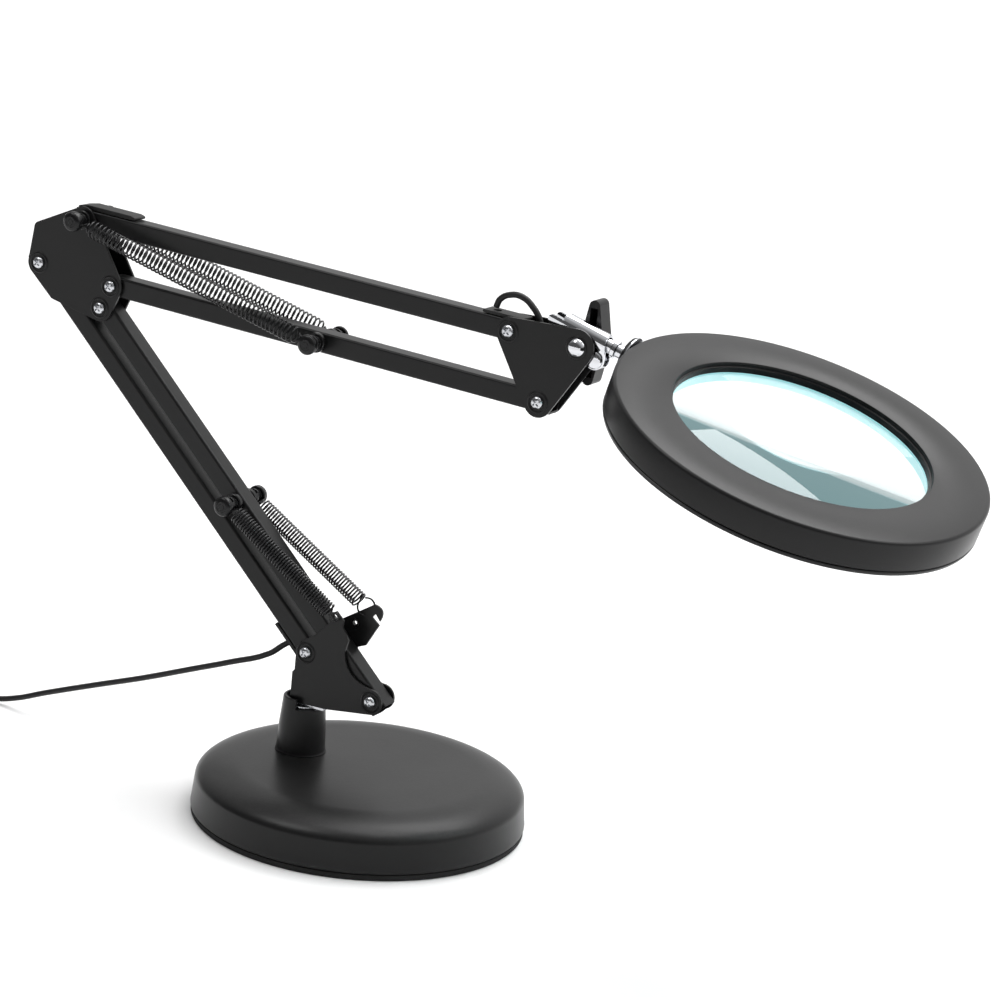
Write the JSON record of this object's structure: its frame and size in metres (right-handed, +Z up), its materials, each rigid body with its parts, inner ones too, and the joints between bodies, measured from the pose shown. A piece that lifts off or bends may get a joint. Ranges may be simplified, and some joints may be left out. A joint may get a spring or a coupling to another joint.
{
  "type": "magnifying lamp",
  "caption": "Desk magnifier lamp: round weighted base, spring-balanced double parallel arm of square tube, tilting and twisting round light head with a lens, power cord with plug.",
  "frame": {"origin": "centre of the round base's underside, on the table", "axes": "+Z up, +X from the elbow towards the lamp head, arms in the XZ plane"},
  "size_m": [0.6371, 0.177, 0.2771],
  "materials": {
    "black_paint": "satin black powder coat",
    "black_plastic": "smooth black moulding",
    "soft_black": "soft black cable sheath",
    "zinc": "zinc plated",
    "chrome": "polished",
    "spring_steel": "drawn wire",
    "cast_iron": "plain casting",
    "foam_pad": "matt foam rubber",
    "lens_glass": "clear polished",
    "diffuser_white": "frosted",
    "board_white": "white solder mask"
  },
  "bodies": {
    "base": {"base_cover": "black_paint", "base_weight": "cast_iron", "base_pad": "foam_pad", "post_socket": "black_plastic", "socket_nut": "zinc", "cord_lead": "soft_black", "cord_coil": "soft_black", "cord_tail": "soft_black", "plug_body": "black_plastic", "plug_sleeve": "chrome"},
    "swivel_bracket": {"swivel_post": "zinc", "base_bracket_front": "black_paint", "base_bracket_rear": "black_paint", "bracket_eyelet": "black_paint", "base_main_pivot": "zinc", "base_link_pivot": "zinc"},
    "lower_arm": {"lower_main_tube": "black_paint", "cable_outlet": "soft_black", "lower_cable": "soft_black"},
    "lower_link": {"lower_link_tube": "black_paint", "lower_spring_pin": "zinc"},
    "lower_springs": {"lower_spool_front": "black_plastic", "lower_spool_rear": "black_plastic", "lower_spring_front": "spring_steel", "lower_spring_rear": "spring_steel"},
    "elbow": {"elbow_plate_front": "black_paint", "elbow_plate_rear": "black_paint", "elbow_main_pivot": "zinc", "elbow_link_pivot": "zinc", "upper_link_pivot": "zinc", "elbow_spring_pin": "zinc"},
    "elbow_spools": {"elbow_spool_front": "black_plastic", "elbow_spool_rear": "black_plastic"},
    "upper_springs": {"upper_spring_front": "spring_steel", "upper_spring_rear": "spring_steel"},
    "upper_arm": {"upper_main_tube": "black_paint", "elbow_cable_cover": "soft_black", "cable_grommet": "soft_black", "upper_cable": "soft_black", "head_cable": "soft_black"},
    "upper_link": {"upper_link_tube": "black_paint", "upper_spring_pin": "zinc", "upper_spool_front": "black_plastic", "upper_spool_rear": "black_plastic"},
    "head_bracket": {"head_plate_front": "black_paint", "head_plate_rear": "black_paint", "head_main_pivot": "zinc", "head_link_pivot": "zinc", "tilt_bolt": "chrome"},
    "wing_nut": {"wing_nut": "black_plastic"},
    "neck_yoke": {"neck_yoke": "chrome", "yoke_screw": "chrome"},
    "head": {"neck_stem": "chrome", "neck_flange": "black_plastic", "head_top": "black_plastic", "head_bottom": "black_plastic", "lens_ring": "black_plastic", "led_diffuser": "diffuser_white", "led_board": "board_white", "lens": "lens_glass"}
  },
  "joints": [
    {"name": "base_swivel", "type": "hinge", "parent": "base", "child": "swivel_bracket", "pos_m": [-0.0354, 0, 0.051], "axis": [0, 0, 1], "range_deg": [-30, 30]},
    {"name": "lower_arm_lift", "type": "hinge", "parent": "swivel_bracket", "child": "lower_arm", "pos_m": [-0.0329, 0, 0.079], "axis": [0, 1, 0], "range_deg": [-5, 45]},
    {"name": "lower_link_follow", "type": "hinge", "parent": "swivel_bracket", "child": "lower_link", "pos_m": [0.0051, 0, 0.0625], "axis": [0, 1, 0], "range_deg": [-5.5, 45.5]},
    {"name": "lower_spring_swing", "type": "hinge", "parent": "lower_link", "child": "lower_springs", "pos_m": [-0.08057, 0, 0.14494], "axis": [0, 1, 0], "range_deg": [-3.25, 25.25], "deforming": ["lower_spring_front", "lower_spring_rear"]},
    {"name": "elbow_level", "type": "hinge", "parent": "lower_arm", "child": "elbow", "pos_m": [-0.20439, 0, 0.24403], "axis": [0, 1, 0], "range_deg": [-45.5, 5.5]},
    {"name": "upper_arm_lift", "type": "hinge", "parent": "elbow", "child": "upper_arm", "pos_m": [-0.17939, 0, 0.26963], "axis": [0, 1, 0], "range_deg": [-35, 35]},
    {"name": "upper_link_follow", "type": "hinge", "parent": "elbow", "child": "upper_link", "pos_m": [-0.16089, 0, 0.23933], "axis": [0, 1, 0], "range_deg": [-35.5, 35.5]},
    {"name": "upper_spring_swing", "type": "hinge", "parent": "elbow", "child": "elbow_spools", "pos_m": [-0.17939, 0, 0.26963], "axis": [0, 1, 0], "range_deg": [-29.55, 29.55]},
    {"name": "upper_spring_stretch", "type": "slide", "parent": "elbow_spools", "child": "upper_springs", "axis": [0.9665, 0, -0.2568], "range_m": [-0.0152, 0.0152], "deforming": ["upper_spring_front", "upper_spring_rear"]},
    {"name": "head_level", "type": "hinge", "parent": "upper_arm", "child": "head_bracket", "pos_m": [0.06026, 0, 0.25673], "axis": [0, 1, 0], "range_deg": [-35.5, 35.5], "deforming": ["head_cable"]},
    {"name": "head_tilt", "type": "hinge", "parent": "head_bracket", "child": "neck_yoke", "pos_m": [0.09566, 0, 0.25533], "axis": [0, 1, 0], "range_deg": [-80, 30]},
    {"name": "wing_nut_turn", "type": "hinge", "parent": "head_bracket", "child": "wing_nut", "pos_m": [0.09566, 0.012, 0.25533], "axis": [0, 1, 0], "range_deg": [-180, 180]},
    {"name": "head_twist", "type": "hinge", "parent": "neck_yoke", "child": "head", "pos_m": [0.09741, 0, 0.26108], "axis": [0.9568, 0, -0.2907], "range_deg": [-90, 90]}
  ],
  "couplings": [
    {"joint": "lower_link_follow", "follows": "lower_arm_lift", "ratio": 1},
    {"joint": "elbow_level", "follows": "lower_arm_lift", "ratio": -1},
    {"joint": "lower_spring_swing", "follows": "lower_arm_lift", "ratio": 0.55},
    {"joint": "upper_link_follow", "follows": "upper_arm_lift", "ratio": 1},
    {"joint": "head_level", "follows": "upper_arm_lift", "ratio": -1},
    {"joint": "upper_spring_swing", "follows": "upper_arm_lift", "ratio": 0.83},
    {"joint": "upper_spring_stretch", "follows": "upper_arm_lift", "m_per_rad": 0.02406}
  ]
}
